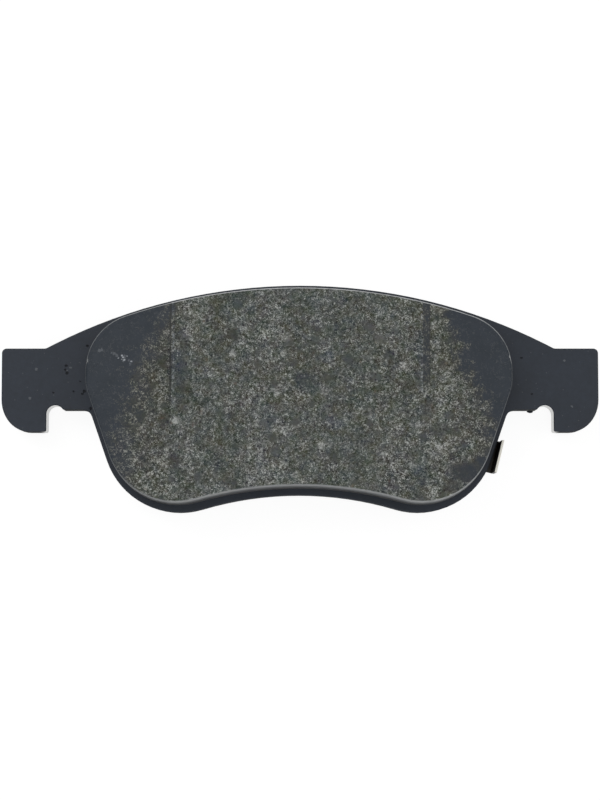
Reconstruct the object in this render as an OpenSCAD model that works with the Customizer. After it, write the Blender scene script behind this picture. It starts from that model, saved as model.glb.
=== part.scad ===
// Disc brake pad: a steel backing plate with two hooked ears, a friction block moulded
// on an underlayer, a laminated noise shim and a riveted wear indicator.
// The pad lies on its shim: +Z points at the disc, +Y at the disc's rim, and the
// origin is the middle of the outline at the shim's outer face.

/* [Backing plate] */
// Width over both ears
plate_w = 155; // [152:0.5:160]
// Height from the lowest point of the lobes to the top of the outer edge
plate_h = 59.1; // [58:0.1:61]
// Thickness of the steel
plate_t = 6; // [5:0.5:8]
// Radius of the outer edge, concentric with the disc's rim
top_r = 141; // [136:1:150]
// Radius of the two lobes at the bottom corners
lobe_r = 20; // [18:0.5:21]
// Height of the hollow arch between the lobes
arch_rise = 4.5; // [3:0.1:6]
// Lean of the flanks below the ears, in degrees from upright
flank_lean = 19.1; // [17:0.1:21]
// Sideways offset of the lobes and the lining from the middle of the ears
body_shift = -0.27; // [-0.5:0.01:0.5]

/* [Ears] */
// Height of the ear's top edge above the middle
ear_top = 13.1; // [12:0.1:14]
// Height of the ear's underside below the middle
ear_under = 2.85; // [2.4:0.05:3.4]
// Distance from the middle to the flank at the ear's underside
flank_x = 54.35; // [54:0.05:55]
// Radius in the corner of flank and ear
flank_fillet_r = 2.6; // [1:0.1:3]
// Radius of the ear's outer top corner
ear_corner_r = 1.2; // [0.6:0.1:3]
// Radius in the corner of outer edge and ear
ear_root_r = 1.5; // [0.8:0.1:2]
// Width of the hook at the end of the ear
hook_w = 11.7; // [10:0.1:12]
// How far the hook reaches below the middle
hook_reach = 8.6; // [8.2:0.1:10]
// Width of the hook's oval outer corner
hook_corner_w = 7.3; // [6:0.1:9]
// Height of the hook's oval outer corner
hook_corner_h = 8.4; // [6:0.1:9]
// Radius of the hook's inner corner
hook_tip_r = 0.5; // [0.3:0.1:1]
// Radius of the relief in the corner of hook and underside
relief_r = 2.3; // [1.8:0.1:2.5]

/* [Plate holes] */
// Diameter of the two holes that the underlayer is keyed into
key_d = 12; // [8:0.5:14]
// Distance of the keying holes from the middle
key_x = 19; // [14:0.5:24]
// Height of the keying holes above the middle
key_y = 2; // [0:0.5:6]
// Diameter of the two half-pierced bosses that hold the shim in place
boss_d = 5; // [4:0.5:6]
// Distance of the bosses from the middle
boss_x = 40; // [36:0.5:44]
// Height of the bosses above the middle
boss_y = 5; // [0:0.5:8]
// How far the bosses stay below the shim's outer face
boss_recess = 0.3; // [0.2:0.1:0.6]

/* [Lining] */
// Thickness of the adhesive film under the lining
bond_t = 0.15; // [0.1:0.05:0.3]
// Thickness of the underlayer
underlayer_t = 2; // [1.5:0.1:3]
// Thickness of the friction block
friction_t = 9.5; // [6:0.5:12]
// Draft of the lining's side walls, in degrees
draft = 3; // [1:0.5:4]
// Distance from the plate's outer edge to the friction face
friction_margin = 1.95; // [1.8:0.05:3]
// Half the width of the friction face
friction_x = 54.35; // [53.5:0.05:54.6]
// Radius of the friction face's upper corners
shoulder_r = 14.5; // [12:0.5:16]
// Distance from the plate's flank to the friction face
flank_margin = 1.8; // [1.5:0.1:2.2]
// Radius with which the face's sides turn in along the flanks
waist_r = 10; // [6:0.5:12]
// Radius of the friction face's lobes
friction_lobe_r = 18; // [16:0.5:19]
// Distance from the plate's lobes up to the friction face's lobes
friction_floor = 2.55; // [2.2:0.05:3]
// Height of the friction face's arch above its lobes
friction_arch_rise = 4.3; // [3:0.1:6]
// Distance from the block's middle to the start of each end chamfer
chamfer_x = 32.5; // [28:0.5:40]
// Depth of the end chamfers at the block's sides
chamfer_drop = 1.2; // [0.5:0.1:3]

/* [Noise shim] */
// Thickness of the outer rubber coat
shim_outer_t = 0.15; // [0.1:0.05:0.3]
// Thickness of the shim's steel core
shim_core_t = 0.7; // [0.4:0.1:1]
// Thickness of the inner rubber coat
shim_inner_t = 0.2; // [0.1:0.05:0.3]
// Thickness of the adhesive that holds the shim on the plate
shim_bond_t = 0.15; // [0.1:0.05:0.2]
// How far the shim reaches out past the outline of the friction face
shim_grow = 1; // [0.2:0.1:1.2]
// Clearance round the bosses and the foot of the wear indicator
shim_clearance = 0.4; // [0.2:0.1:1]

/* [Wear indicator] */
// Width of the spring-steel strip
strip_w = 8.6; // [7:0.1:9]
// Thickness of the strip
strip_t = 0.6; // [0.4:0.1:0.7]
// Inner radius of the bend round the plate's edge
strip_bend_r = 0.6; // [0.4:0.1:0.7]
// Height of the strip's tip above the plate's front face, the lining left when it sounds
strip_tip = 2.6; // [2:0.1:4]
// Distance along the flank from the ear's underside to the strip's upper corner
strip_along = 8.15; // [7:0.05:9]
// Gap between the flank and the strip's upper corner
strip_gap = 0.8; // [0.4:0.1:1.2]
// Angle at which the strip spreads away from the flank below that corner, in degrees
strip_splay = 5.3; // [2:0.1:8]
// Distance from the strip's inner face to its rivet
rivet_inset = 8; // [7:0.5:10]
// Diameter of the rivet's shank
rivet_d = 4; // [3:0.5:5]
// Diameter of the rivet's head
rivet_head_d = 6.6; // [5.5:0.1:7]
// Thickness of the rivet's head
rivet_head_t = 0.45; // [0.3:0.05:0.5]
// Depth of the rivet's blind hole in the plate
rivet_depth = 4.5; // [3:0.5:4.5]

/* [Hidden] */
$fn = 64;

// heights of the layers, from the shim's outer face up
core_z = shim_outer_t;
inner_z = core_z + shim_core_t;
shim_bond_z = inner_z + shim_inner_t;
plate_z = shim_bond_z + shim_bond_t;
front_z = plate_z + plate_t;
underlayer_z = front_z + bond_t;
friction_z = underlayer_z + underlayer_t;
face_z = friction_z + friction_t;
plug_top = underlayer_z + underlayer_t / 2;
boss_h = plate_z - boss_recess;

top_y = plate_h / 2;
disc_centre = [0, top_y - top_r];
flank_normal = [cos(flank_lean), -sin(flank_lean)];
cut = 1; // overshoot of the cutting shapes

function polar(c, r, a) = c + r * [cos(a), sin(a)];
function arc(c, r, from, to, steps) = [for (i = [0:steps]) polar(c, r, from + (to - from) * i / steps)];
function unit(v) = v / norm(v);
function heading(v) = atan2(v.y, v.x);

// arc of radius r in the corner at q, on the way from p to s
function fillet(p, q, s, r, steps) =
    let (u = unit(p - q), v = unit(s - q), half = acos(u * v) / 2)
    let (c = q + unit(u + v) * r / sin(half))
    let (from = heading(q + u * r / tan(half) - c), to = heading(q + v * r / tan(half) - c))
    let (sweep = (to - from + 540) % 360 - 180)
    arc(c, r, from, from + sweep, steps);

// the right half and its mirror image as one closed outline
function mirrored(right, left) =
    concat(right, [for (i = [len(left) - 2:-1:1]) [-left[i].x, left[i].y]]);

// lobe of radius r that touches a flank through p and stands on the height floor_y,
// and the arch that it runs into, with its crown above x0 and rise above that floor
function lobe_and_arch(p, r, floor_y, rise, x0) =
    let (cy = floor_y + r, c = [(p * flank_normal - r - cy * flank_normal.y) / flank_normal.x, cy])
    let (arch_r = (pow(c.x - x0, 2) / rise + rise) / 2 - r)
    let (hollow = [x0, floor_y + rise - arch_r], joint = heading(c - hollow))
    concat(arc(c, r, -flank_lean, joint - 180, 16), arc(hollow, arch_r, joint, 90, 8));

// corner of ear underside and flank on the right
function flank_top(shift) = [flank_x + shift, -ear_under];

function plate_half(shift) =
    let (ear_end = plate_w / 2, hook_x = plate_w / 2 - hook_w)
    let (root = [sqrt(pow(top_r, 2) - pow(ear_top - disc_centre.y, 2)), ear_top])
    let (outer = arc(disc_centre, top_r, 90, heading(root - disc_centre) + 1, 16))
    let (relief = [hook_x - relief_r, -ear_under - relief_r / 2])
    let (flank = flank_top(shift), below = flank - [sin(flank_lean), cos(flank_lean)])
    concat(
        outer,
        fillet(outer[len(outer) - 1], root, [ear_end, ear_top], ear_root_r, 3),
        fillet(root, [ear_end, ear_top], [ear_end, -hook_reach], ear_corner_r, 5),
        [for (p = arc([0, 0], 1, 0, -90, 12)) [ear_end - hook_corner_w * (1 - p.x),
            hook_corner_h * (1 + p.y) - hook_reach]],
        fillet([ear_end, -hook_reach], [hook_x, -hook_reach], [hook_x, 0], hook_tip_r, 4),
        arc(relief, relief_r, 0, 150, 12),
        fillet([hook_x, -ear_under], flank, below, flank_fillet_r, 5),
        lobe_and_arch(flank, lobe_r, -top_y, arch_rise, shift));

// outline of the lining, grown outwards from the friction face: rim, shoulder, side, waist,
// flank, lobe and arch, with the shoulder no larger than the side leaves room for
function lining_half(grow) =
    let (rim_r = top_r - friction_margin, waist_x = friction_x - waist_r)
    let (waist_reach = flank_top(0) * flank_normal - flank_margin - waist_r)
    let (waist = [waist_x, (waist_reach - waist_x * flank_normal.x) / flank_normal.y])
    let (side_top = sqrt(pow(rim_r, 2) - pow(friction_x, 2)), side_foot = waist.y - disc_centre.y)
    let (room = (pow(side_top, 2) - pow(side_foot, 2)) / (rim_r - friction_x) / 2)
    let (r = min(shoulder_r, room), shoulder_x = friction_x - r)
    let (shoulder = disc_centre + [shoulder_x, sqrt(pow(rim_r - r, 2) - pow(shoulder_x, 2))])
    let (turn = heading(shoulder - disc_centre))
    concat(
        arc(disc_centre, rim_r + grow, 90, turn, 12),
        arc(shoulder, r + grow, turn, 0, 12),
        arc(waist, waist_r + grow, 0, -flank_lean, 4),
        lobe_and_arch(waist + (waist_r + grow) * flank_normal, friction_lobe_r + grow,
            friction_floor - top_y - grow, friction_arch_rise, 0));

module plate_outline() {
    polygon(mirrored(plate_half(body_shift), plate_half(-body_shift)));
}

module lining_outline(grow) {
    half = lining_half(grow);
    translate([body_shift, 0])
        polygon(mirrored(half, half));
}

// draft lets the lining grow by this much from the friction face down to height z
function draft_at(z) = (face_z - z) * tan(draft);

// slice of the drafted lining between two heights
module lining_slice(z0, z1) {
    low = lining_half(draft_at(z0));
    high = lining_half(draft_at(z1));
    floor_pts = [for (p = mirrored(low, low)) [p.x, p.y, z0]];
    roof_pts = [for (p = mirrored(high, high)) [p.x, p.y, z1]];
    n = len(floor_pts);
    translate([body_shift, 0, 0])
        polyhedron(
            concat(floor_pts, roof_pts),
            concat(
                [[for (i = [n - 1:-1:0]) i]],
                [[for (i = [0:n - 1]) n + i]],
                [for (i = [0:n - 1]) [i, (i + 1) % n, n + (i + 1) % n, n + i]]));
}

module at_keys() {
    for (side = [-1, 1])
        translate([side * key_x, key_y])
            children();
}

module at_bosses() {
    for (side = [-1, 1])
        translate([side * boss_x, boss_y])
            children();
}

// frame of the wear indicator: +X points out from the plate, +Y along its edge
module at_strip() {
    translate(flank_top(body_shift) - strip_along * [sin(flank_lean), cos(flank_lean)])
        rotate(-flank_lean)
            translate([strip_gap, 0])
                rotate(strip_splay)
                    translate([0, -strip_w / 2])
                        children();
}

module at_rivet() {
    at_strip()
        translate([-rivet_inset, 0])
            children();
}

module backing_plate() {
    color([0.16, 0.17, 0.19]) {
        difference() {
            translate([0, 0, plate_z])
                linear_extrude(plate_t)
                    plate_outline();
            at_keys()
                translate([0, 0, plate_z - cut])
                    cylinder(h = plate_t + 2 * cut, d = key_d);
            at_bosses()
                translate([0, 0, front_z - boss_h])
                    cylinder(h = boss_h + cut, d = boss_d);
            at_rivet()
                translate([0, 0, plate_z - cut])
                    cylinder(h = rivet_depth + cut, d = rivet_d);
        }
        at_bosses()
            translate([0, 0, boss_recess])
                cylinder(h = boss_h + cut, d = boss_d);
    }
}

module bonding_adhesive() {
    color([0.35, 0.22, 0.12])
        translate([0, 0, front_z])
            linear_extrude(bond_t)
                difference() {
                    lining_outline(draft_at(front_z));
                    at_keys()
                        circle(d = key_d);
                    at_bosses()
                        circle(d = boss_d);
                }
}

module underlayer() {
    color([0.3, 0.29, 0.26]) {
        lining_slice(underlayer_z, friction_z);
        at_keys()
            translate([0, 0, plate_z])
                cylinder(h = plug_top - plate_z, d = key_d);
        at_bosses()
            translate([0, 0, front_z - boss_h])
                cylinder(h = plug_top - front_z + boss_h, d = boss_d);
    }
}

// wedge that takes the end chamfer off the right of the block
module chamfer_cutter() {
    reach = friction_x - chamfer_x;
    slope = chamfer_drop / reach;
    rotate([90, 0, 0])
        linear_extrude(plate_h + 2 * cut, center = true)
            polygon([[chamfer_x, face_z], [chamfer_x + 2 * reach, face_z - 2 * reach * slope],
                [chamfer_x + 2 * reach, face_z + cut], [chamfer_x, face_z + cut]]);
}

module friction_block() {
    color([0.42, 0.42, 0.38])
        difference() {
            lining_slice(friction_z, face_z);
            translate([body_shift, 0, 0])
                for (side = [0, 1])
                    mirror([side, 0, 0])
                        chamfer_cutter();
        }
}

// one layer of the shim, with its holes for the bosses and its notch for the strip's foot
module shim_layer(z, t) {
    foot = strip_w + 2 * shim_clearance;
    translate([0, 0, z])
        linear_extrude(t)
            difference() {
                lining_outline(shim_grow);
                at_bosses()
                    circle(d = boss_d + 2 * shim_clearance);
                at_rivet() {
                    circle(d = foot);
                    translate([0, -foot / 2])
                        square([2 * rivet_inset, foot]);
                }
            }
}

module shim_adhesive() {
    color([0.6, 0.55, 0.4])
        shim_layer(shim_bond_z, shim_bond_t);
}

module shim_inner_rubber() {
    color([0.1, 0.1, 0.1])
        shim_layer(inner_z, shim_inner_t);
}

module shim_steel_core() {
    color([0.6, 0.61, 0.62])
        shim_layer(core_z, shim_core_t);
}

module shim_outer_rubber() {
    color([0.07, 0.07, 0.08])
        shim_layer(0, shim_outer_t);
}

// side view of the strip: foot under the plate, bend and upright arm
module strip_profile() {
    bend = [-strip_bend_r, plate_z + strip_bend_r];
    tip_z = front_z + strip_tip;
    polygon(concat(
        [[-rivet_inset, plate_z], [-rivet_inset, plate_z - strip_t]],
        arc(bend, strip_bend_r + strip_t, -90, 0, 8),
        [[strip_t, tip_z], [0, tip_z]],
        arc(bend, strip_bend_r, 0, -90, 8)));
}

module wear_indicator() {
    color([0.2, 0.2, 0.2])
        difference() {
            union() {
                at_strip()
                    rotate([90, 0, 0])
                        linear_extrude(strip_w, center = true)
                            strip_profile();
                at_rivet()
                    translate([0, 0, plate_z - strip_t])
                        cylinder(h = strip_t, d = strip_w);
            }
            at_rivet()
                translate([0, 0, plate_z - strip_t - cut])
                    cylinder(h = strip_t + 2 * cut, d = rivet_d);
        }
}

module wear_indicator_rivet() {
    head_z = plate_z - strip_t - rivet_head_t;
    color([0.62, 0.6, 0.55])
        at_rivet() {
            translate([0, 0, head_z])
                cylinder(h = rivet_head_t, d = rivet_head_d);
            translate([0, 0, head_z + rivet_head_t / 2])
                cylinder(h = rivet_head_t / 2 + strip_t + rivet_depth, d = rivet_d);
        }
}

backing_plate();
bonding_adhesive();
underlayer();
friction_block();
shim_adhesive();
shim_inner_rubber();
shim_steel_core();
shim_outer_rubber();
wear_indicator();
wear_indicator_rivet();
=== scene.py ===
import math
import random

import bmesh
import bpy
import numpy as np
from mathutils import Matrix, Vector, noise

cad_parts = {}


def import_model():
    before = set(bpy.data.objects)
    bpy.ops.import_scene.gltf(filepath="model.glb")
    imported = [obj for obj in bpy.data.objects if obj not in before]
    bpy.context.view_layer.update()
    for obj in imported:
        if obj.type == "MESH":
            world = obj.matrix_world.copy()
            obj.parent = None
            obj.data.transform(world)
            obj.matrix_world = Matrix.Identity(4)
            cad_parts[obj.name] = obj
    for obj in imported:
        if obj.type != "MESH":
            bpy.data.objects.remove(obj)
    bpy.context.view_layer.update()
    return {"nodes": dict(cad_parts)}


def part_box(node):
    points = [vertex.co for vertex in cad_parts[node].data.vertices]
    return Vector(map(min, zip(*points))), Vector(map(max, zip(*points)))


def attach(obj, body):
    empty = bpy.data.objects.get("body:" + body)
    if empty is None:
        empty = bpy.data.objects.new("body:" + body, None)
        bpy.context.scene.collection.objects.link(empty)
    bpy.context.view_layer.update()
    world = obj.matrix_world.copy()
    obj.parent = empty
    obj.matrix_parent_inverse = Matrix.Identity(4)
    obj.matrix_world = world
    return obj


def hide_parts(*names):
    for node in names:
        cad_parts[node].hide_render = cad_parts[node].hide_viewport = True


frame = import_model()

MM = 0.001
BODY = "root"
nodes = frame["nodes"]
rng = random.Random(7)

# places on the pad, in mm
FACE_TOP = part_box("friction_block")[1].z / MM
STRIP_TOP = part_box("wear_indicator")[1].z / MM
CHAMFER_X = 32.5       # where the end chamfers of the block start, from the middle
CHAMFER_SLOPE = 0.055


# ---------------------------------------------------------------- shader helper
class Shader:
    """One procedural material. Its textures are laid out in millimetres of the object."""

    def __init__(self, name):
        self.material = bpy.data.materials.new(name)
        self.material.use_nodes = True
        self.tree = self.material.node_tree
        self.tree.nodes.clear()
        out = self.tree.nodes.new("ShaderNodeOutputMaterial")
        self.bsdf = self.tree.nodes.new("ShaderNodeBsdfPrincipled")
        self.tree.links.new(self.bsdf.outputs[0], out.inputs["Surface"])
        self.coord = self.node("ShaderNodeTexCoord")
        self.at = self.vector("SCALE", self.coord.outputs["Object"], scale=1 / MM)
        self.height = None

    def node(self, kind, **settings):
        made = self.tree.nodes.new(kind)
        for key, value in settings.items():
            setattr(made, key, value)
        return made

    def feed(self, socket, value):
        if isinstance(value, bpy.types.NodeSocket):
            self.tree.links.new(value, socket)
        elif socket.type == "RGBA" and len(value) == 3:
            socket.default_value = (*value, 1)
        else:
            socket.default_value = value

    def feed_all(self, node, **values):
        """Values to the node's inputs of these names, with _ for a space."""
        for name, value in values.items():
            self.feed(node.inputs[name.replace("_", " ")], value)

    def vector(self, operation, a, b=None, scale=None):
        made = self.node("ShaderNodeVectorMath", operation=operation)
        self.feed(made.inputs[0], a)
        if b is not None:
            self.feed(made.inputs[1], b)
        if scale is not None:
            self.feed(made.inputs["Scale"], scale)
        return made.outputs[0]

    def math(self, operation, *values):
        made = self.node("ShaderNodeMath", operation=operation)
        for socket, value in zip(made.inputs, values):
            self.feed(socket, value)
        return made.outputs[0]

    def chain(self, operation, values):
        total = values[0]
        for value in values[1:]:
            total = self.math(operation, total, value)
        return total

    def times(self, *values):
        return self.chain("MULTIPLY", values)

    def plus(self, *values):
        return self.chain("ADD", values)

    def most(self, *values):
        return self.chain("MAXIMUM", values)

    def less(self, value, share):
        """1, less this share of the value."""
        return self.math("SUBTRACT", 1.0, self.times(value, share))

    def about(self, value, share):
        """The value's swing about 0.5, times this share."""
        return self.times(self.math("SUBTRACT", value, 0.5), share)

    def far(self, value, place):
        """How far the value is from a place."""
        return self.math("ABSOLUTE", self.math("SUBTRACT", value, place))

    def axis(self, name, of=None):
        made = self.node("ShaderNodeSeparateXYZ")
        self.feed(made.inputs[0], self.at if of is None else of)
        return made.outputs[name]

    def level(self):
        """1 on a face that looks up or down, 0 on an upright wall."""
        return self.math("ABSOLUTE", self.axis("Z", self.coord.outputs["Normal"]))

    def step(self, value, low, high, at_low=0.0, at_high=1.0):
        """Smooth step of value from low to high."""
        made = self.node("ShaderNodeMapRange", interpolation_type="SMOOTHSTEP")
        self.feed_all(made, Value=value, From_Min=low, From_Max=high, To_Min=at_low, To_Max=at_high)
        return made.outputs[0]

    def noise(self, per_mm, detail=2.0, rough=0.5, offset=(0, 0, 0), stretch=(1, 1, 1),
              colour=False, distort=0.0):
        place = self.vector("MULTIPLY", self.vector("ADD", self.at, offset), stretch)
        made = self.node("ShaderNodeTexNoise")
        self.feed_all(made, Vector=place, Scale=per_mm, Detail=detail, Roughness=rough, Distortion=distort)
        return made.outputs["Color" if colour else "Fac"]

    def cells(self, per_mm, offset=(0, 0, 0), warp=None):
        """Voronoi cells: distance from the nearest grain's middle and the grain's random colour."""
        place = self.vector("ADD", self.at, offset)
        if warp is not None:
            place = self.vector("ADD", place, warp)
        made = self.node("ShaderNodeTexVoronoi")
        self.feed_all(made, Vector=place, Scale=per_mm)
        return made.outputs["Distance"], made.outputs["Color"]

    def mix(self, factor, a, b, blend="MIX"):
        made = self.node("ShaderNodeMix", data_type="RGBA", blend_type=blend)
        for index, given in ((0, factor), (6, a), (7, b)):
            self.feed(made.inputs[index], given)
        return made.outputs[2]

    def cover(self, colour, mask, share, over):
        """Another colour laid over this one, by a share of the mask."""
        return self.mix(self.times(mask, share), colour, over)

    def lerp(self, factor, a, b):
        made = self.node("ShaderNodeMix", data_type="FLOAT")
        for index, given in ((0, factor), (2, a), (3, b)):
            self.feed(made.inputs[index], given)
        return made.outputs[0]

    def ramp(self, factor, *stops):
        made = self.node("ShaderNodeValToRGB")
        elements = made.color_ramp.elements
        while len(elements) < len(stops):
            elements.new(0.5)
        for element, (place, colour) in zip(elements, stops):
            element.position = place
            element.color = (*colour, 1)
        self.feed(made.inputs[0], factor)
        return made.outputs[0]

    def bump(self, height, depth_mm, strength=1.0):
        """Adds relief of this depth to what bump() gave before."""
        made = self.node("ShaderNodeBump")
        self.feed_all(made, Strength=strength, Distance=depth_mm * MM, Height=height)
        if self.height is not None:
            self.tree.links.new(self.height, made.inputs["Normal"])
        self.height = made.outputs[0]

    def attribute(self, name):
        return self.node("ShaderNodeAttribute", attribute_name=name).outputs["Fac"]

    def done(self, colour, rough, metallic=0.0, **fixed):
        self.feed_all(self.bsdf, Base_Color=colour, Roughness=rough, Metallic=metallic, **fixed)
        if self.height is not None:
            self.tree.links.new(self.height, self.bsdf.inputs["Normal"])
        return self.material


def spots(m, places, ragged=0.35):
    """Mask of ragged spots at places [(x, y, radius), ...] in mm."""
    wobble = m.noise(2.4, 3, 0.6, (11, 3, 5), colour=True)
    shift = m.vector("SCALE", m.vector("SUBTRACT", wobble, (0.5, 0.5, 0.5)), scale=ragged * 2.2)
    at = m.vector("MULTIPLY", m.vector("ADD", m.at, shift), (1, 1, 0))
    total = 0.0
    for x, y, radius in places:
        away = m.node("ShaderNodeVectorMath", operation="DISTANCE")
        m.feed(away.inputs[0], at)
        m.feed(away.inputs[1], (x, y, 0))
        total = m.most(total, m.step(away.outputs["Value"], radius * 1.25, radius * 0.75))
    return total


# ---------------------------------------------------------------- materials
# flaws of the plate's coat, (x, y, radius) in mm on its front
CHIPS = [
    (-60.7, 8.6, 0.36), (-60.5, 6.7, 0.40), (-60.9, 7.6, 0.26), (-55.2, 13.8, 0.32),
    (-55.9, 1.9, 0.38), (-56.4, 1.3, 0.28), (-54.3, -2.6, 0.36), (-58.8, 1.9, 0.26),
    (-57.0, 4.5, 0.24), (60.2, 1.2, 0.24), (57.5, 10.6, 0.28), (-64.0, 1.5, 0.22),
]
SPECKS = [
    (-59.6, 8.1, 0.35), (-60.6, 7.3, 0.25), (-68.5, 7.7, 0.35),
    (-70.1, 0.1, 0.4), (68.7, 9.9, 0.3), (70.5, -2.0, 0.3),
]


# flaws fade in between these heights, so they show on the plate's front only
FLAWS_ABOVE = (3.5, 4.5)
# how far from the middle the clips rub the hooks bare, fading in and out again
HOOK_IN = (61.1, 61.6)
HOOK_OUT = (66.2, 67.6)


def powder_coat():
    """Thin satin black coat over sheared steel, with chips, pinholes and rubbed edges."""
    m = Shader("black_powder_coat")
    cloud = m.noise(0.07, 4, 0.6)
    mottle = m.noise(0.9, 3, 0.55, (4, 0, 0))
    fine = m.noise(4.5, 2, 0.5, (0, 9, 0))
    tone = m.plus(m.times(cloud, 0.5), m.times(mottle, 0.35), m.times(fine, 0.15))
    coat = m.ramp(tone, (0.3, (0.0010, 0.0045, 0.0105)), (0.7, (0.0105, 0.0165, 0.0280)))
    level = m.level()
    wall = m.step(level, 0.75, 0.3)
    # painted shade: the upright walls are darker in colour than the faces
    coat = m.mix(wall, coat, (0.003, 0.004, 0.005))
    # the clips rub the inner walls of the hooks smooth
    aside = m.math("ABSOLUTE", m.axis("X"))
    hook = m.times(
        m.step(aside, *HOOK_IN),
        m.step(aside, *reversed(HOOK_OUT)),
        m.step(level, 0.22, 0.06),
        m.step(m.axis("Y"), 1.0, -0.5))
    drawn = m.noise(1.6, 4, 0.7, (3, 0, 0), stretch=(0.3, 0.3, 3))
    coat = m.mix(hook, coat, m.ramp(drawn, (0.3, (0.40, 0.40, 0.39)), (0.7, (0.56, 0.56, 0.55))))
    # the rounded edges lean between the faces and the walls
    edges = m.times(m.step(level, 0.35, 0.47), m.step(level, 0.99, 0.94))
    rubbed = m.times(edges, m.step(m.noise(0.5, 4, 0.7, (2, 2, 2)), 0.42, 0.66))
    coat = m.cover(coat, rubbed, 0.18, (0.05, 0.055, 0.06))
    front = m.step(m.axis("Z"), *FLAWS_ABOVE)
    chips = m.times(spots(m, CHIPS), front)
    coat = m.cover(coat, chips, 0.8, (0.001, 0.001, 0.002))
    coat = m.mix(m.times(spots(m, SPECKS), front), coat, (0.055, 0.062, 0.072))
    dust = m.step(m.cells(0.55, (3, 3, 0))[0], 0.10, 0.05)
    coat = m.cover(coat, dust, 0.3, (0.11, 0.115, 0.12))
    rough = m.lerp(mottle, 0.38, 0.52)
    rough = m.lerp(wall, rough, 1.0)
    rough = m.lerp(edges, rough, 0.75)
    rough = m.lerp(hook, rough, 0.28)
    rough = m.lerp(m.times(chips, 0.8), rough, 1.0)
    m.bump(m.noise(1.3, 2, 0.5, (7, 0, 0)), 0.03, 0.6)
    m.bump(fine, 0.014, 0.6)
    m.bump(chips, -0.16, 1.0)
    return m.done(coat, rough, m.times(hook, 0.9), Specular_IOR_Level=0.4)


# how much a flake smooths the grain that it covers
FLAKE_SMOOTHING = 0.72


def compound_grain(m, mark):
    """The ground face's brightness, from 0 for dark to 1 for light, and the parts that it is made of."""
    warp = m.vector("SCALE", m.noise(1.1, 2, 0.6, (5, 5, 0), colour=True), scale=0.9)
    grain = m.cells(1.5, warp=warp)[1]
    small = m.axis("X", m.cells(4.6, (3, 1, 2), warp)[1])
    fibre = m.noise(3.0, 2, 0.65, (1, 8, 3), stretch=(1.1, 0.9, 1), distort=1.8)
    tone = m.plus(
        m.about(m.axis("X", grain), 0.34),
        m.about(small, 0.74),
        m.about(fibre, 1.1),
        m.about(m.noise(1.1, 4, 0.7, (6, 8, 3)), 0.90),
        m.about(m.noise(0.30, 3, 0.55, (9, 1, 3)), 0.46))
    # coarse places and smooth ones, and more contrast at the ends
    coarse = m.step(m.noise(0.24, 3, 0.6, (4, 6, 1)), 0.36, 0.64, 0.78, 1.07)
    tone = m.times(tone, coarse, m.math("MULTIPLY_ADD", mark["olive"], 0.30, 1.0))
    # smooth flakes with little grain of their own: the marked ones, then large and small ones anywhere
    flake = m.most(m.times(mark["dark"], 0.8), m.times(mark["pale"], 0.6))
    tone = m.times(tone, m.less(flake, FLAKE_SMOOTHING))
    for per_mm, offset in ((0.21, (2, 9, 4)), (0.47, (7, 1, 3))):
        gap, own = m.cells(per_mm, offset, warp)
        size = m.math("MULTIPLY_ADD", m.axis("Y", own), 0.16, 0.12)
        chosen = m.step(m.axis("Z", own), 0.50, 0.55)
        mask = m.times(m.step(gap, m.times(size, 1.2), m.times(size, 0.8)), chosen)
        flake = m.most(flake, mask)
        tone = m.times(tone, m.less(mask, FLAKE_SMOOTHING))
        tone = m.plus(tone, m.times(mask, m.about(m.axis("X", own), 0.16)))
    broad = m.noise(0.085, 2, 0.5, (2, 7, 4), stretch=(1, 0.35, 1))
    cluster = m.step(m.noise(0.42, 3, 0.65, (8, 2, 4)), 0.56, 0.72)
    tone = m.plus(
        tone,
        m.about(broad, 0.4),
        m.times(cluster, 0.09),
        m.times(mark["pale"], 0.33),
        m.times(mark["dark"], -0.16),
        0.473)
    return {"tone": tone, "hue": m.axis("Y", grain), "small": small, "fibre": fibre,
            "flake": flake, "cluster": cluster}


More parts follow.
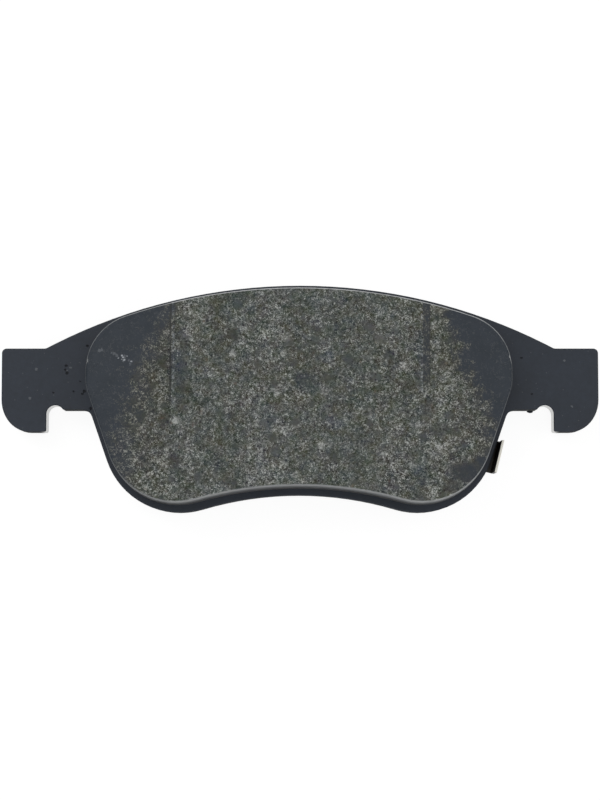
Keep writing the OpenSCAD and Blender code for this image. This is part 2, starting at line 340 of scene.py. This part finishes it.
def compound_colour(m, mark, grain):
    """Colour of the ground face and a mask of its pores."""
    colour = m.ramp(
        grain["tone"],
        (0.0, (0.006, 0.010, 0.006)),
        (0.25, (0.0285, 0.0340, 0.0275)),
        (0.5, (0.062, 0.069, 0.061)),
        (0.75, (0.137, 0.147, 0.135)),
        (1.0, (0.39, 0.405, 0.385)))
    # brass and copper chips, dark pores and light glints
    rare = m.step(m.noise(0.5, 2, 0.5, (0, 4, 9)), 0.54, 0.68)
    brass = m.times(m.step(grain["hue"], 0.94, 0.98), rare)
    colour = m.cover(colour, brass, 0.35, (0.16, 0.145, 0.105))
    copper = m.times(m.step(grain["hue"], 0.04, 0.01), rare)
    colour = m.cover(colour, copper, 0.5, (0.12, 0.085, 0.07))
    gap, own = m.cells(1.1, (8, 0, 1))
    pore = m.times(m.step(gap, 0.34, 0.18), m.step(m.axis("X", own), 0.84, 0.88))
    colour = m.cover(colour, pore, 0.95, (0.003, 0.003, 0.003))
    gap, own = m.cells(1.3, (1, 6, 2))
    spread = m.step(m.noise(0.35, 3, 0.6, (3, 0, 2)), 0.52, 0.64)
    spread = m.most(spread, m.times(m.most(grain["cluster"], mark["pale"]), 0.8))
    glint = m.times(m.step(gap, 0.30, 0.14), m.step(m.axis("X", own), 0.60, 0.66), spread)
    colour = m.cover(colour, glint, 0.8, (0.46, 0.47, 0.46))
    # weak patches of brown, green, blue-grey and olive, as strong on dark grains as on light ones
    hues = m.noise(0.36, 4, 0.6, (7, 3, 5), colour=True)
    wide = m.noise(0.07, 2, 0.5, (1, 5, 8), stretch=(1, 0.6, 1))
    red = m.plus(
        m.about(m.axis("X", hues), 0.036),
        m.times(mark["olive"], 0.0028),
        m.times(mark["pale"], 0.003),
        m.times(mark["blue"], -0.002))
    azure = m.plus(
        m.about(m.axis("Y", hues), 0.056),
        m.about(wide, 0.020),
        m.times(m.most(mark["blue"], m.times(grain["cluster"], 0.6)), 0.011),
        m.times(mark["olive"], -0.0022),
        m.times(grain["flake"], 0.004))
    shift = m.node("ShaderNodeCombineXYZ")
    m.feed_all(shift, X=red, Z=azure)
    colour = m.vector("MAXIMUM", m.vector("ADD", colour, shift.outputs[0]), (0.002, 0.002, 0.002))
    return colour, pore


def chamfer_marks(m):
    """Marks where the chamfers start: a dark line at the left, a painted band and a line at the right."""
    wobble = m.vector("SCALE", m.noise(0.6, 3, 0.7, (3, 3, 3), colour=True), scale=0.5)
    across = m.axis("X", m.vector("ADD", m.at, wobble))
    height = m.axis("Y")
    broken = m.step(m.noise(0.8, 3, 0.7, (0, 7, 0), stretch=(0.5, 1, 1)), 0.28, 0.48, 0.5, 1)
    left_line = m.step(m.far(across, -CHAMFER_X - 0.25), 0.30, 0.14)
    groove = m.times(left_line, broken, m.step(height, -8.0, 4.0))
    band = m.times(m.step(m.far(across, CHAMFER_X - 0.05), 1.25, 0.75), m.step(height, -2.0, 6.0))
    right_line = m.times(m.step(m.far(across, CHAMFER_X + 0.75), 0.30, 0.10), band, 0.45)
    groove = m.most(groove, m.times(right_line, broken))
    # chips along the edges of the flat face, fainter near the top
    side = m.math("MINIMUM", m.far(across, CHAMFER_X - 1.25), m.far(across, -CHAMFER_X + 0.45))
    chips = m.times(
        m.step(side, 0.40, 0.15),
        m.step(m.noise(1.2, 3, 0.7, (9, 1, 0)), 0.50, 0.62),
        m.step(height, -4.0, 0.0),
        m.step(height, 24.0, 18.0, 0.35, 1))
    return groove, band, chips


# scratches in the paint of the block's left corner and the scuffs round them, (x, y, radius) in mm
SCRATCHES = [
    (-45.35, 10.20, 0.24), (-45.1, 9.70, 0.17), (-44.75, 9.05, 0.26), (-46.3, 9.60, 0.14),
    (-44.1, 10.05, 0.11), (-42.90, 8.72, 0.20), (-45.4, 9.20, 0.12),
]
SCUFFS = [
    (-51.2, 11.44, 0.45), (-50.6, 11.7, 0.35), (-49.2, 11.4, 0.16), (-48.1, 11.0, 0.18),
    (-47.4, 10.75, 0.40), (-46.7, 10.3, 0.42), (-45.0, 9.9, 0.55), (-44.9, 9.1, 0.45),
    (-43.3, 8.1, 0.35), (-43.6, 9.0, 0.30),
]
SCRATCHED = (0.40, 0.42, 0.45)


def compound_paint(m, film, upright, tone):
    """Black paint of the unground places, with painted light on the upper part of the side wall: paler all
    round, with a painted highlight at negative y.
    """
    paint = m.ramp(film, (0.3, (0.0030, 0.0080, 0.0142)), (0.7, (0.0092, 0.0146, 0.0228)))
    up = m.axis("Z")
    # painted light: the upper part of the side walls is paler in colour, lightest near the face
    paint = m.mix(m.times(upright, m.step(up, 11.0, 15.5)), paint, (0.085, 0.092, 0.090))
    # painted highlight: the upper part of the wall at negative y is lighter still
    painted_wall_highlight = m.times(upright, m.step(up, 13.5, 18.3), m.step(m.axis("Y"), -8.0, -16.0))
    paint = m.cover(paint, painted_wall_highlight, 0.3, (0.40, 0.415, 0.41))
    return m.mix(m.step(tone, 0.70, 1.05, 0, 0.3), paint, (0.08, 0.085, 0.09))


def compound():
    """Moulded friction compound: ground face of grains in a resin, painted where it is unground."""
    m = Shader("friction_compound")
    mark = {name: m.attribute(name) for name in ("ground", "olive", "blue", "rim", "rim_wear_highlight", "pale", "dark")}
    grain = compound_grain(m, mark)
    colour, pore = compound_colour(m, mark, grain)
    groove, band, edge_chips = chamfer_marks(m)

    # paint still covers the corners, the rim and the side walls, thin and brown where it fades
    upright = m.step(m.level(), 0.5, 0.2)
    film = m.plus(m.noise(0.22, 4, 0.6, (4, 4, 4)), m.about(m.noise(2.2, 3, 0.7, (6, 1, 4)), 0.5))
    speck = m.plus(m.about(grain["tone"], 0.22), m.about(m.noise(0.7, 4, 0.75, (1, 2, 9)), 0.35))
    ground = m.times(mark["ground"], m.less(band, 0.63))
    bare = m.times(m.step(m.plus(ground, speck), 0.14, 0.66), m.less(upright, 0.7))
    lit = m.step(m.plus(ground, m.times(speck, 0.5)), 0.20, 1.0)
    paint = compound_paint(m, film, upright, grain["tone"])
    dim = m.mix(1.0, colour, (0.56, 0.53, 0.47), "MULTIPLY")
    colour = m.mix(bare, paint, m.mix(lit, dim, colour))

    colour = m.cover(colour, groove, 0.8, (0.007, 0.008, 0.007))
    colour = m.cover(colour, edge_chips, 0.6, (0.24, 0.26, 0.28))
    # the rim is lightened in colour, partly where paint is rubbed off and partly as a painted highlight
    rim_blotches = m.step(m.noise(0.6, 4, 0.7, (3, 1, 1)), 0.25, 0.55, 0.5, 1)
    colour = m.mix(m.times(mark["rim_wear_highlight"], rim_blotches), colour, (0.50, 0.51, 0.515))
    colour = m.cover(colour, spots(m, SCUFFS, 0.6), 0.14, SCRATCHED)
    colour = m.cover(colour, spots(m, SCRATCHES), 0.8, SCRATCHED)

    rough = m.lerp(bare, m.lerp(film, 0.40, 0.52), 0.78)
    rough = m.lerp(upright, rough, 0.60)
    rough = m.lerp(mark["rim"], rough, 0.95)
    m.bump(groove, -0.08, 0.8)
    worked = m.step(mark["ground"], 0.15, 0.60)
    m.bump(m.times(grain["fibre"], worked), 0.07, 0.8)
    m.bump(m.times(grain["small"], worked), 0.04, 0.6)
    m.bump(pore, -0.12, 0.8)
    m.bump(m.noise(1.2, 3, 0.6, (2, 2, 7)), 0.03, 0.5)
    return m.done(colour, rough, Specular_IOR_Level=0.4)


def underlayer_mix():
    """Dark layer under the compound, with a few paler grains, seen at the foot of the side wall."""
    m = Shader("underlayer_mix")
    soft = m.noise(1.3, 5, 0.7, (1, 8, 3))
    grain = m.axis("X", m.cells(2.2, (2, 2, 2))[1])
    tone = m.plus(m.times(soft, 0.7), m.times(grain, 0.3))
    colour = m.ramp(
        tone,
        (0.25, (0.014, 0.015, 0.017)),
        (0.55, (0.028, 0.030, 0.032)),
        (0.8, (0.085, 0.082, 0.075)))
    m.bump(soft, 0.08, 0.8)
    return m.done(colour, m.lerp(soft, 0.45, 0.7))


def adhesive_film(name, dark, light):
    """Cured adhesive seen as a thin line."""
    m = Shader(name)
    soft = m.noise(0.8, 4, 0.65)
    colour = m.ramp(soft, (0.3, dark), (0.7, light))
    m.bump(m.noise(2.2, 3, 0.6), 0.03, 0.6)
    return m.done(colour, m.lerp(soft, 0.3, 0.6))


def rubber_coat():
    """Matt nitrile coat of the shim, with a fine grain, scuffs and dust."""
    m = Shader("shim_rubber")
    cloud = m.noise(0.06, 4, 0.6)
    fine = m.noise(5.0, 3, 0.6)
    streaks = m.noise(0.25, 5, 0.75, (1, 5, 0), stretch=(0.35, 2.2, 1), distort=0.6)
    scuff = m.step(streaks, 0.60, 0.74)
    tone = m.plus(m.times(cloud, 0.7), m.times(fine, 0.3))
    colour = m.ramp(tone, (0.3, (0.010, 0.010, 0.011)), (0.7, (0.021, 0.021, 0.022)))
    colour = m.cover(colour, scuff, 0.35, (0.07, 0.07, 0.072))
    dust = m.step(m.cells(0.4, (3, 3, 0))[0], 0.10, 0.04)
    colour = m.cover(colour, dust, 0.3, (0.16, 0.16, 0.16))
    m.bump(fine, 0.025, 0.6)
    m.bump(m.noise(0.6, 3, 0.6), 0.03, 0.4)
    return m.done(colour, m.lerp(scuff, m.lerp(cloud, 0.62, 0.78), 0.5))


def bright_steel(name, dark, light, rough_low, rough_high, stretch=(1, 1, 1)):
    """Bare or plated steel with fine drawn or sheared lines and a little tarnish."""
    m = Shader(name)
    lines = m.noise(2.6, 5, 0.7, stretch=stretch)
    cloud = m.noise(0.5, 3, 0.6, (3, 3, 3))
    tone = m.plus(m.times(lines, 0.5), m.times(cloud, 0.5))
    colour = m.ramp(tone, (0.3, dark), (0.7, light))
    stain = m.step(m.noise(0.9, 4, 0.7, (8, 1, 1)), 0.60, 0.72)
    colour = m.cover(colour, stain, 0.35, (0.10, 0.085, 0.07))
    m.bump(lines, 0.02, 0.6)
    return m.done(colour, m.lerp(cloud, rough_low, rough_high), 1.0)


def spring_strip():
    """Black oxide on spring steel, bare and bright where the tip was sheared off."""
    m = Shader("spring_strip")
    sheared = m.step(m.axis("Z"), STRIP_TOP - 0.12, STRIP_TOP - 0.05)
    cloud = m.noise(0.5, 4, 0.6)
    coat = m.ramp(cloud, (0.3, (0.007, 0.005, 0.003)), (0.7, (0.018, 0.014, 0.009)))
    rubbed = m.step(m.noise(0.9, 5, 0.75, (2, 2, 2)), 0.60, 0.72)
    coat = m.cover(coat, rubbed, 0.25, (0.06, 0.058, 0.054))
    lines = m.noise(3.0, 3, 0.6, stretch=(3, 1, 1))
    steel = m.ramp(lines, (0.3, (0.70, 0.68, 0.61)), (0.7, (0.88, 0.86, 0.78)))
    m.bump(m.noise(4.0, 3, 0.6), 0.012, 0.5)
    m.bump(m.noise(1.0, 3, 0.6, (1, 0, 4)), 0.02, 0.4)
    return m.done(m.mix(sheared, coat, steel), m.lerp(sheared, 0.5, 0.42), m.times(sheared, 0.3))


# ---------------------------------------------------------------- friction block
# the cells that the face is cut into, and the rounding of its rim, in mm
FACE_CELL = 0.45
RIM_ROUNDING = 0.23
# where the paint ends at the left and the right, as (height, place across) in mm on the face
PAINT_LEFT = [
    (-29, -50), (-18, -50.2), (-11.4, -50.6), (-1.2, -48.0), (1.3, -47.3), (6.4, -46.0),
    (11.4, -41.4), (15.2, -39.4), (17.8, -38.6), (22.1, -36.5), (29, -35),
]
PAINT_RIGHT = [
    (-29, 46.0), (-20, 48.5), (-11, 50.5), (-3.8, 49.5), (0.0, 47.8), (2.5, 45.5),
    (8.9, 41.8), (12.7, 41.0), (15.3, 39.6), (20.3, 38.6), (22.9, 37.0), (29, 35.0),
]
# over what width the paint fades there, as (height, width)
FADE_LEFT = [(-29, 14), (-12, 18), (0, 20), (12, 14)]
FADE_RIGHT = [(-29, 11), (-12, 10), (0, 9), (12, 8)]
# the flakes and stains that stand out, in mm on the face: (x, y, half width, half height, strength).
# A measuring program found most of them in the photo. The lists were then cut down,
# rounded to about half a millimetre and added to.
PALE = [
    (-31.5, -6.5, 1.4, 1.2, 1.3), (35.5, -13, 0.9, 1.1, 1.1), (-17, 10.5, 1.0, 1.2, 1.1),
    (5.5, -12.5, 0.9, 1.1, 1.1), (-4, 10.5, 0.9, 1.1, 1.0), (-6, 1, 0.9, 1.2, 1.0),
    (-14, 17, 1.5, 0.8, 0.9), (-34, -13.5, 0.8, 0.9, 0.9), (28.5, -18, 1.1, 0.9, 0.8),
    (-4.5, -17.5, 1.0, 0.8, 0.8), (34, 18, 0.9, 1.3, 0.7), (26.5, 7.5, 1.3, 1.3, 0.7),
]
DARK = [
    (8.5, -15.5, 1.0, 1.3, 1.0), (-17, 15.5, 1.1, 1.4, 1.1), (39, -9, 1.8, 1.0, 0.9),
    (38.5, -15.5, 0.9, 1.3, 0.9), (23, 10, 1.3, 1.8, 0.9), (1.5, 4, 2.2, 2.4, 0.7),
    (-34.5, -6.5, 1.8, 1.7, 0.7), (-32, -16.5, 1.4, 2.0, 0.7), (31.5, -4.5, 1.8, 3.0, 0.5),
    (41, -19.5, 3.4, 2.8, 1.0), (45, -18, 2.4, 2.0, 0.9), (35.5, -8.5, 2.2, 2.0, 0.8),
    (-30, 8.5, 1.9, 9.0, 0.6), (38.5, -23, 2.8, 1.8, 0.8),
]
BLUE = [
    (7, 9.5, 1.7, 1.7, 1.0), (31, -20.5, 1.8, 2.7, 0.9), (31, 10, 1.4, 6.0, 0.8),
    (8.5, -7, 2.6, 1.9, 0.8), (1, 3.5, 1.9, 3.3, 0.8), (-31.5, 7, 2.0, 7.0, 0.8),
    (-8, -5, 2.3, 4.0, 0.8), (12, -13.5, 1.7, 2.9, 0.7), (-45, -14.5, 2.2, 6.5, 1.0),
    (41, -19.5, 4.5, 4.5, 1.0),
]
BARE = [(-39, 7, 1.5, 1.0, 0.6)]
# how many small light flakes, and as many dark ones, are scattered between them
SCATTERED = 14
# how much of the rim is lightened, partly rubbed bare and partly a painted highlight, as (height, share)
RIM = [
    (-30, 0.6), (-24, 0.45), (-16, 0.30), (-8, 0.10), (8, 0.12),
    (12, 0.30), (17, 0.5), (21, 0.8), (30, 1.0),
]
# nicks in the rim, (x, y, radius)
NICKS = [(-54.1, 8.9, 0.6), (53.3, 9.7, 0.6)]
# pits that stand out, (x, y, radius, depth), and the number of small pores round them
PITS = [
    (8.8, -15.3, 0.75, 0.35), (38.4, -15.3, 0.6, 0.25), (-10.2, 19.6, 0.35, 0.2),
    (6.6, 12.3, 0.4, 0.2), (-28.6, -5.2, 0.4, 0.2),
]
PORES = 420


def smooth(value, low, high):
    t = np.clip((value - low) / (high - low), 0, 1)
    return t * t * (3 - 2 * t)


def octaves(xy, per_mm, count, seed):
    """Fractal noise about 0 at points in mm."""
    total = np.zeros(len(xy))
    for k in range(count):
        scale = per_mm * 2**k
        layer = [noise.noise(Vector((x * scale, y * scale, seed + 3.7 * k))) for x, y in xy]
        total += np.array(layer) * 0.55**k
    return total


def along(height, table):
    """Value at each height of a table of (height, value)."""
    return np.interp(height, *zip(*table))


def is_rim(edge):
    """Whether an edge parts the front face or a chamfer from the side wall."""
    tilts = [f.normal.z for f in edge.link_faces]
    return len(tilts) == 2 and sorted(z > 0.8 for z in tilts) == [False, True] and min(tilts) > -0.5


def friction_face():
    """The block with a rounded rim and its front face, material 1, cut into cells."""
    bm = bmesh.new()
    bm.from_mesh(nodes["friction_block"].data)
    bmesh.ops.remove_doubles(bm, verts=bm.verts, dist=1e-7)
    bmesh.ops.dissolve_limit(bm, angle_limit=math.radians(0.3), verts=bm.verts, edges=bm.edges)
    bm.normal_update()
    bmesh.ops.bevel(
        bm, geom=[e for e in bm.edges if is_rim(e)], offset=RIM_ROUNDING * MM, segments=3,
        profile=0.5, affect="EDGES", clamp_overlap=False)
    bm.normal_update()
    for f in bm.faces:
        f.material_index = 1 if f.normal.z > 0.99 else 0
        f.smooth = True
    low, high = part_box("friction_block")
    for axis, normal in enumerate((Vector((1, 0, 0)), Vector((0, 1, 0)))):
        place = low[axis] + 0.21 * MM
        while place < high[axis]:
            faces = [f for f in bm.faces if f.material_index == 1]
            edges = {e for f in faces for e in f.edges}
            verts = {v for f in faces for v in f.verts}
            bmesh.ops.bisect_plane(
                bm, geom=faces + list(edges) + list(verts), dist=1e-7,
                plane_co=normal * place, plane_no=normal)
            place += FACE_CELL * MM
    return new_piece("friction_face", bm)


def new_piece(name, bm):
    mesh = bpy.data.meshes.new(name)
    bm.to_mesh(mesh)
    bm.free()
    piece = bpy.data.objects.new(name, mesh)
    bpy.context.scene.collection.objects.link(piece)
    return piece


def nearest(points, others):
    """Distance of each point from the nearest of the others, which are taken some at a time."""
    away = np.full(len(points), 99.0)
    for start in range(0, len(others), 64):
        part = others[start:start + 64]
        away = np.minimum(away, np.sqrt(((points[:, None] - part[None]) ** 2).sum(-1)).min(1))
    return away


def face_fields(xy):
    """What the compound's material needs to know at each point of the face."""
    x, y = xy[:, 0], xy[:, 1]
    ragged = octaves(xy, 0.35, 3, 4.0)
    left = (x - along(y, PAINT_LEFT) + ragged * 3.5 + 2.5) / along(y, FADE_LEFT)
    right = (along(y, PAINT_RIGHT) - x + ragged * 3.5 + 2.5) / along(y, FADE_RIGHT)
    marks = {"pale": PALE, "dark": DARK, "blue": BLUE, "ground": BARE}
    for kind in ("pale", "dark"):
        marks[kind] = marks[kind] + [
            (rng.uniform(-40, 40), rng.uniform(-22, 22),
             rng.uniform(0.8, 1.5), rng.uniform(0.8, 1.3), rng.uniform(0.5, 0.8))
            for _ in range(SCATTERED)]
    fields = {}
    for kind, places in marks.items():
        fields[kind] = np.zeros(len(x))
        for px, py, rx, ry, strength in places:
            reach = np.hypot((x - px) / rx, (y - py) / ry) + ragged * 0.35
            fields[kind] = np.maximum(fields[kind], strength * smooth(reach, 1.3, 0.6))
    ground = np.maximum(np.clip(np.minimum(left, right), 0, 1), fields["ground"])
    # paint is left on the dark stains of the lower right corner, and thinly on the chamfers
    ground = ground * (1 - 0.45 * fields["dark"] * (x > 36.5) * (y < -10))
    ground = ground * (1 - 0.12 * smooth(x, -31.5, -33.5)) * (1 - 0.10 * smooth(x, 31.5, 34.0))
    fields["ground"] = ground
    stains = smooth(octaves(xy * [1, 0.3], 0.06, 2, 9.0), 0.1, 0.35)
    fields["olive"] = np.clip(0.75 * smooth(np.abs(x), 30, 37) + 0.5 * stains, 0, 1)
    return fields


def face_depth(xy, ground, away):
    """Relief of the face in mm: below the paint, between the grains and in the pores."""
    x, y = xy[:, 0], xy[:, 1]
    z = -0.10 * (1 - ground) * smooth(away, 0.0, 1.5)
    z += 0.035 * octaves(xy, 0.9, 3, 1.0) * ground
    pores = [
        (rng.uniform(-52, 52), rng.uniform(-27, 28), rng.uniform(0.25, 0.6), rng.uniform(0.06, 0.2))
        for _ in range(PORES)]
    for px, py, radius, depth in PITS + pores:
        near = np.hypot(x - px, y - py) / radius
        z -= depth * np.clip(1 - near**2, 0, 1) * (0.25 + 0.75 * ground)
    return np.clip(z, -0.5, 0.0)


def nick_and_lighten_rim(co, edge):
    """Cuts the nicks and gives the share of rim lightened by rubbed paint and a painted highlight, and the
    nearness of the rim at each point.
    """
    x, y, z = co[edge].T
    chamfer = np.maximum(np.abs(x) - CHAMFER_X, 0)
    below = FACE_TOP - chamfer * CHAMFER_SLOPE - z
    side = np.where(x < -33, 0.6, np.where((x > 33) & (y < 0), 1.35, 1.0))
    strength = along(y, RIM) * side
    for px, py, radius in NICKS:
        near = np.clip(1.3 - np.hypot(x - px, y - py) / radius, 0, 1)
        strength = np.maximum(strength, near * 1.4)
        co[edge, 2] -= 0.22 * near * (z > 17)
        co[edge, 0] -= 0.20 * near * (z > 17) * np.sign(x)
    return np.clip(strength * smooth(below, 0.35, 0.16), 0, 1), smooth(below, 0.6, 0.3)


def relief(piece):
    """Moves the points of the face and the rim, and stores the fields that the material reads."""
    mesh = piece.data
    count = len(mesh.vertices)
    co = np.empty(count * 3)
    mesh.vertices.foreach_get("co", co)
    co = co.reshape(-1, 3) / MM
    on_face = np.zeros(count, bool)
    off_face = np.zeros(count, bool)
    for p in mesh.polygons:
        (on_face if p.material_index == 1 else off_face)[list(p.vertices)] = True
    inner = np.flatnonzero(on_face)
    edge = np.flatnonzero(off_face)

    def store(name, domain, values):
        mesh.attributes.new(name, "FLOAT", domain).data.foreach_set("value", values.astype(np.float32))

    def spread(points, values):
        full = np.zeros(count)
        full[points] = values
        return full

    xy = co[inner, :2]
    fields = face_fields(xy)
    away = nearest(xy, co[on_face & off_face, :2])
    co[inner, 2] += face_depth(xy, fields["ground"], away)
    rim_wear_highlight, near_rim = nick_and_lighten_rim(co, edge)
    mesh.vertices.foreach_set("co", (co * MM).ravel())
    mesh.update()

    for name, values in fields.items():
        store(name, "POINT", spread(inner, values))
    store("rim", "POINT", spread(edge, near_rim))
    # only on the rounded edge's own faces, so that the line stays sharp
    of_corner = np.empty(len(mesh.loops), np.int32)
    mesh.loops.foreach_get("vertex_index", of_corner)
    on_edge = np.repeat([p.material_index == 0 for p in mesh.polygons], [p.loop_total for p in mesh.polygons])
    store("rim_wear_highlight", "CORNER", spread(edge, rim_wear_highlight)[of_corner] * on_edge)


block = friction_face()
relief(block)
block.data.materials.clear()
friction = compound()
block.data.materials.append(friction)
block.data.materials.append(friction)
shading = block.modifiers.new("wall_shading", "WEIGHTED_NORMAL")
shading.keep_sharp = True
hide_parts("friction_block")
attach(block, BODY)


# ---------------------------------------------------------------- paint bead
def paint_bead(place):
    """Bead of paint that ran together on the plate's lower edge."""
    bm = bmesh.new()
    bmesh.ops.create_icosphere(bm, subdivisions=4, radius=1)
    for v in bm.verts:
        taper = 1 - 0.45 * max(0.0, -v.co.x)
        bulge = 1 + 0.12 * noise.noise(v.co * 1.7)
        v.co = Vector((v.co.x * 0.85, v.co.y * 0.36 * taper * bulge, v.co.z * 0.7 * taper * bulge))
    for f in bm.faces:
        f.smooth = True
    bm.transform(Matrix.Translation(place))
    bmesh.ops.scale(bm, vec=(MM, MM, MM), verts=bm.verts)
    return new_piece("paint_bead", bm)


black_coat = powder_coat()
bead = paint_bead((60.15, -3.05, 2.1))
bead.data.materials.append(black_coat)
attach(bead, BODY)


# ---------------------------------------------------------------- carried-over nodes
def dress(name, material, edge_mm=0, segments=2):
    """New material and rounded edges on a CAD node."""
    node = nodes[name]
    for slot in node.material_slots:
        slot.material = material
    weld = node.modifiers.new("weld", "WELD")
    weld.merge_threshold = 1e-7
    if edge_mm:
        merge = node.modifiers.new("merge_flat", "DECIMATE")
        merge.decimate_type = "DISSOLVE"
        merge.angle_limit = math.radians(0.2)
        bevel = node.modifiers.new("edge", "BEVEL")
        bevel.width = edge_mm * MM
        bevel.segments = segments
        bevel.limit_method = "ANGLE"
        bevel.angle_limit = math.radians(35)
        bevel.use_clamp_overlap = False
        bevel.harden_normals = True


dress("backing_plate", black_coat, 0.28, 3)
dress("bonding_adhesive", adhesive_film("bonding_film", (0.03, 0.016, 0.008), (0.07, 0.04, 0.02)))
dress("underlayer", underlayer_mix())
dress("shim_adhesive", adhesive_film("shim_adhesive_film", (0.11, 0.09, 0.05), (0.24, 0.20, 0.13)))
rubber = rubber_coat()
dress("shim_inner_rubber", rubber)
dress("shim_outer_rubber", rubber, 0.05)
shim_steel = bright_steel("shim_steel", (0.34, 0.345, 0.35), (0.58, 0.585, 0.59), 0.28, 0.5, (1, 1, 4))
dress("shim_steel_core", shim_steel, 0.06)
dress("wear_indicator", spring_strip(), 0.07)
rivet_steel = bright_steel("plated_rivet", (0.45, 0.44, 0.41), (0.68, 0.67, 0.62), 0.22, 0.42)
dress("wear_indicator_rivet", rivet_steel, 0.12, 3)


# ---------------------------------------------------------------- floor, light, camera
FLOOR_HALF_SIZE = 3.0
FLOOR_COLOUR = 0.8
FLOOR_GLOW = 0.90        # the white that rays see of the floor, to which a little light is added,
FLOOR_SHADE = 0.16       # so that the pad's shadow shows
WORLD_LIGHT = 0.50
LAMPS = [
    # name, place, size, share of plain light on a surface that faces it
    ("key", (-0.42, 0.50, 0.62), 0.55, 0.34),
    ("fill", (0.55, 0.10, 0.50), 0.55, 0.16),
    ("front", (0.05, -0.62, 0.34), 0.60, 0.26),
]
CAMERA_TILT = 4.2
CAMERA_DISTANCE = 0.554
CAMERA_TARGET = (0, -0.00034, 0.0072)
CAMERA_LENS = 96.07


def seen(tree):
    """1 for rays that show the background itself: camera, glossy and transmission rays."""
    path = tree.nodes.new("ShaderNodeLightPath")
    total = path.outputs["Is Camera Ray"]
    for name in ("Is Glossy Ray", "Is Transmission Ray"):
        add = tree.nodes.new("ShaderNodeMath")
        add.operation = "MAXIMUM"
        tree.links.new(total, add.inputs[0])
        tree.links.new(path.outputs[name], add.inputs[1])
        total = add.outputs[0]
    return total


def join(tree, kind, *inputs):
    """A shader node that mixes or adds these outputs."""
    made = tree.nodes.new(kind)
    for socket, given in zip(made.inputs, inputs):
        tree.links.new(given, socket)
    return made.outputs[0]


def diffuse(tree, grey):
    made = tree.nodes.new("ShaderNodeBsdfDiffuse")
    made.inputs["Color"].default_value = (grey, grey, grey, 1)
    return made.outputs[0]


def white_floor():
    material = bpy.data.materials.new("white_floor")
    material.use_nodes = True
    tree = material.node_tree
    tree.nodes.clear()
    glow = tree.nodes.new("ShaderNodeEmission")
    glow.inputs["Strength"].default_value = FLOOR_GLOW
    shown = join(tree, "ShaderNodeAddShader", glow.outputs[0], diffuse(tree, FLOOR_SHADE))
    top = join(tree, "ShaderNodeMixShader", seen(tree), diffuse(tree, FLOOR_COLOUR), shown)
    # clear from below, so that the underside can be looked at
    below = tree.nodes.new("ShaderNodeNewGeometry").outputs["Backfacing"]
    clear = tree.nodes.new("ShaderNodeBsdfTransparent").outputs[0]
    under = join(tree, "ShaderNodeMixShader", below, top, clear)
    tree.links.new(under, tree.nodes.new("ShaderNodeOutputMaterial").inputs[0])
    return material


def floor():
    size = FLOOR_HALF_SIZE
    corners = [(-size, -size, 0), (size, -size, 0), (size, size, 0), (-size, size, 0)]
    mesh = bpy.data.meshes.new("floor")
    mesh.from_pydata(corners, [], [(0, 1, 2, 3)])
    made = bpy.data.objects.new("floor", mesh)
    made.location.z = -0.02 * MM
    bpy.context.scene.collection.objects.link(made)
    made.data.materials.append(white_floor())


def world():
    """Soft white light all round, and plain white where rays see it."""
    made = bpy.data.worlds.new("studio")
    bpy.context.scene.world = made
    made.use_nodes = True
    tree = made.node_tree
    tree.nodes.clear()
    out = tree.nodes.new("ShaderNodeOutputWorld")
    back = tree.nodes.new("ShaderNodeBackground")
    back.inputs["Color"].default_value = (1, 1, 1, 1)
    strength = tree.nodes.new("ShaderNodeMapRange")
    strength.inputs["To Min"].default_value = WORLD_LIGHT
    strength.inputs["To Max"].default_value = 1.0
    tree.links.new(seen(tree), strength.inputs["Value"])
    tree.links.new(strength.outputs[0], back.inputs["Strength"])
    tree.links.new(back.outputs[0], out.inputs[0])


def lamp(name, place, size, share):
    light = bpy.data.lights.new(name, "AREA")
    light.shape = "SQUARE"
    light.size = size
    light.energy = share * math.pi**2 * Vector(place).length_squared
    made = bpy.data.objects.new(name, light)
    made.location = place
    made.rotation_euler = Vector(place).to_track_quat("Z", "Y").to_euler()
    bpy.context.scene.collection.objects.link(made)


def camera():
    """Straight down on the face, tilted a little towards the lobes, from about half a metre."""
    tilt = math.radians(CAMERA_TILT)
    data = bpy.data.cameras.new("camera")
    data.sensor_width = 36
    data.lens = CAMERA_LENS
    made = bpy.data.objects.new("camera", data)
    made.location = Vector(CAMERA_TARGET) + CAMERA_DISTANCE * Vector((0, -math.sin(tilt), math.cos(tilt)))
    made.rotation_euler = (tilt, 0, 0)
    bpy.context.scene.collection.objects.link(made)
    bpy.context.scene.camera = made


floor()
world()
for row in LAMPS:
    lamp(*row)
camera()
bpy.context.scene.view_settings.view_transform = "Standard"
